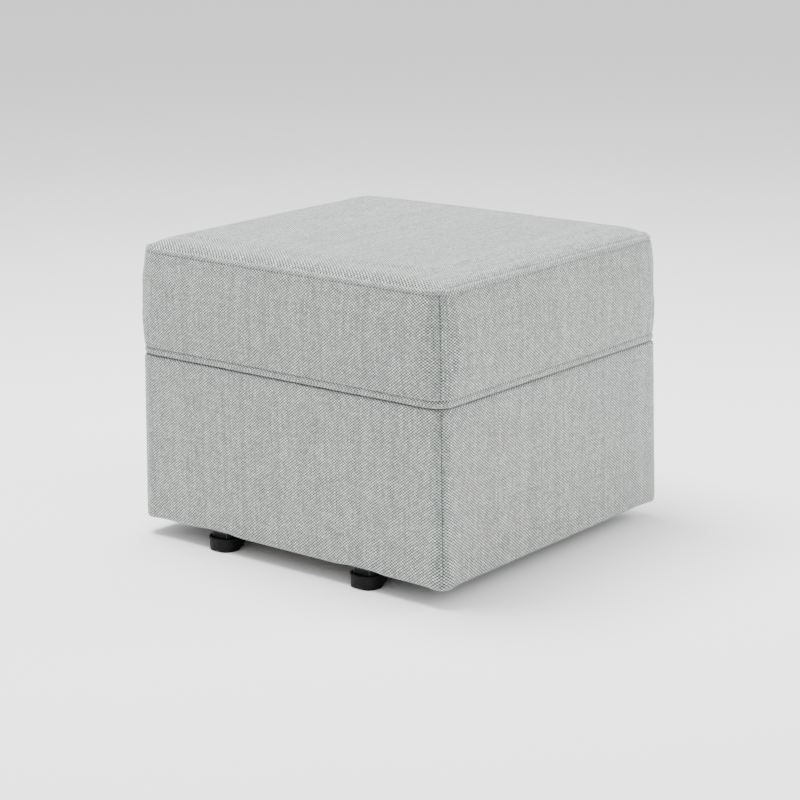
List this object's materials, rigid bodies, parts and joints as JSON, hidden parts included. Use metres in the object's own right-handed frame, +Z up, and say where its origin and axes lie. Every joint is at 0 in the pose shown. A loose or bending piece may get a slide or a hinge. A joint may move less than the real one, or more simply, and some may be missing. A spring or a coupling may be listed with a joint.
{
  "type": "glider ottoman",
  "caption": "Square upholstered footrest box with welted crowned seat, hung on swing arms over a low steel base so that it glides front to back.",
  "frame": {"origin": "on the floor at the centre of the footprint, at rest", "axes": "+X along the wider front to the right, front face towards -Y, +Z up"},
  "size_m": [0.5574, 0.5176, 0.4382],
  "materials": {
    "upholstery_fabric": "woven light grey tweed with darker flecks",
    "polyester_fibre": "white bonded polyester fibre",
    "foam": "open-cell polyurethane foam, cream",
    "plywood": "unfinished birch plywood",
    "hardwood": "planed hardwood, unfinished",
    "cambric": "black spunbonded dust-cover cloth",
    "black_powder_coat": "satin black powder coat on steel",
    "bearing_steel": "ground bearing steel",
    "zinc_steel": "bright zinc-plated steel",
    "foot_plastic": "satin black moulded plastic",
    "rubber": "black moulded rubber"
  },
  "bodies": {
    "base": {"base_rail_left": "black_powder_coat", "base_rail_right": "black_powder_coat", "cross_channel_front": "black_powder_coat", "cross_channel_rear": "black_powder_coat", "foot_front_left": "foot_plastic", "foot_front_right": "foot_plastic", "foot_rear_left": "foot_plastic", "foot_rear_right": "foot_plastic", "foot_screws": "zinc_steel", "tower_bolts": "zinc_steel", "tower_front_left": "black_powder_coat", "tower_front_right": "black_powder_coat", "tower_nuts": "zinc_steel", "tower_rear_left": "black_powder_coat", "tower_rear_right": "black_powder_coat", "upper_inner_races": "bearing_steel", "upper_locknuts": "zinc_steel", "upper_pivot_bolts": "zinc_steel", "upper_spacers": "zinc_steel"},
    "arm_front_left": {"arm_front_left": "black_powder_coat", "arm_bearings_front_left": "bearing_steel"},
    "arm_rear_left": {"arm_rear_left": "black_powder_coat", "arm_bearings_rear_left": "bearing_steel"},
    "arm_front_right": {"arm_front_right": "black_powder_coat", "arm_bearings_front_right": "bearing_steel"},
    "arm_rear_right": {"arm_rear_right": "black_powder_coat", "arm_bearings_rear_right": "bearing_steel"},
    "ottoman": {"boxing_band": "upholstery_fabric", "bumper_screws": "zinc_steel", "carrier_board_left": "hardwood", "carrier_board_right": "hardwood", "corner_blocks": "hardwood", "deck_board": "plywood", "dust_cover_left": "cambric", "dust_cover_right": "cambric", "front_panel": "plywood", "hanger_rail_left": "black_powder_coat", "hanger_rail_right": "black_powder_coat", "hanger_screws": "zinc_steel", "lower_cover": "upholstery_fabric", "lower_inner_races": "bearing_steel", "lower_locknuts": "zinc_steel", "lower_padding": "polyester_fibre", "lower_pivot_bolts": "zinc_steel", "lower_spacers": "zinc_steel", "rear_panel": "plywood", "seat_foam": "foam", "seat_wrap": "polyester_fibre", "side_panel_left": "plywood", "side_panel_right": "plywood", "stop_bumpers": "rubber", "top_panel": "upholstery_fabric", "top_welt": "upholstery_fabric", "waist_welt": "upholstery_fabric"}
  },
  "joints": [
    {"name": "glide", "type": "hinge", "parent": "base", "child": "arm_front_left", "pos_m": [-0.12, -0.09, 0.222], "axis": [1, 0, 0], "range_deg": [-20, 20]},
    {"name": "box_stays_level", "type": "hinge", "parent": "arm_front_left", "child": "ottoman", "pos_m": [-0.12, -0.09, 0.082], "axis": [1, 0, 0], "range_deg": [-20, 20]},
    {"name": "arm_swing_front_right", "type": "hinge", "parent": "base", "child": "arm_front_right", "pos_m": [0.12, -0.09, 0.222], "axis": [1, 0, 0], "range_deg": [-20, 20]},
    {"name": "arm_swing_rear_left", "type": "hinge", "parent": "base", "child": "arm_rear_left", "pos_m": [-0.12, 0.09, 0.222], "axis": [1, 0, 0], "range_deg": [-20, 20]},
    {"name": "arm_swing_rear_right", "type": "hinge", "parent": "base", "child": "arm_rear_right", "pos_m": [0.12, 0.09, 0.222], "axis": [1, 0, 0], "range_deg": [-20, 20]}
  ],
  "couplings": [
    {"joint": "box_stays_level", "follows": "glide", "ratio": -1},
    {"joint": "arm_swing_front_right", "follows": "glide", "ratio": 1},
    {"joint": "arm_swing_rear_left", "follows": "glide", "ratio": 1},
    {"joint": "arm_swing_rear_right", "follows": "glide", "ratio": 1}
  ]
}
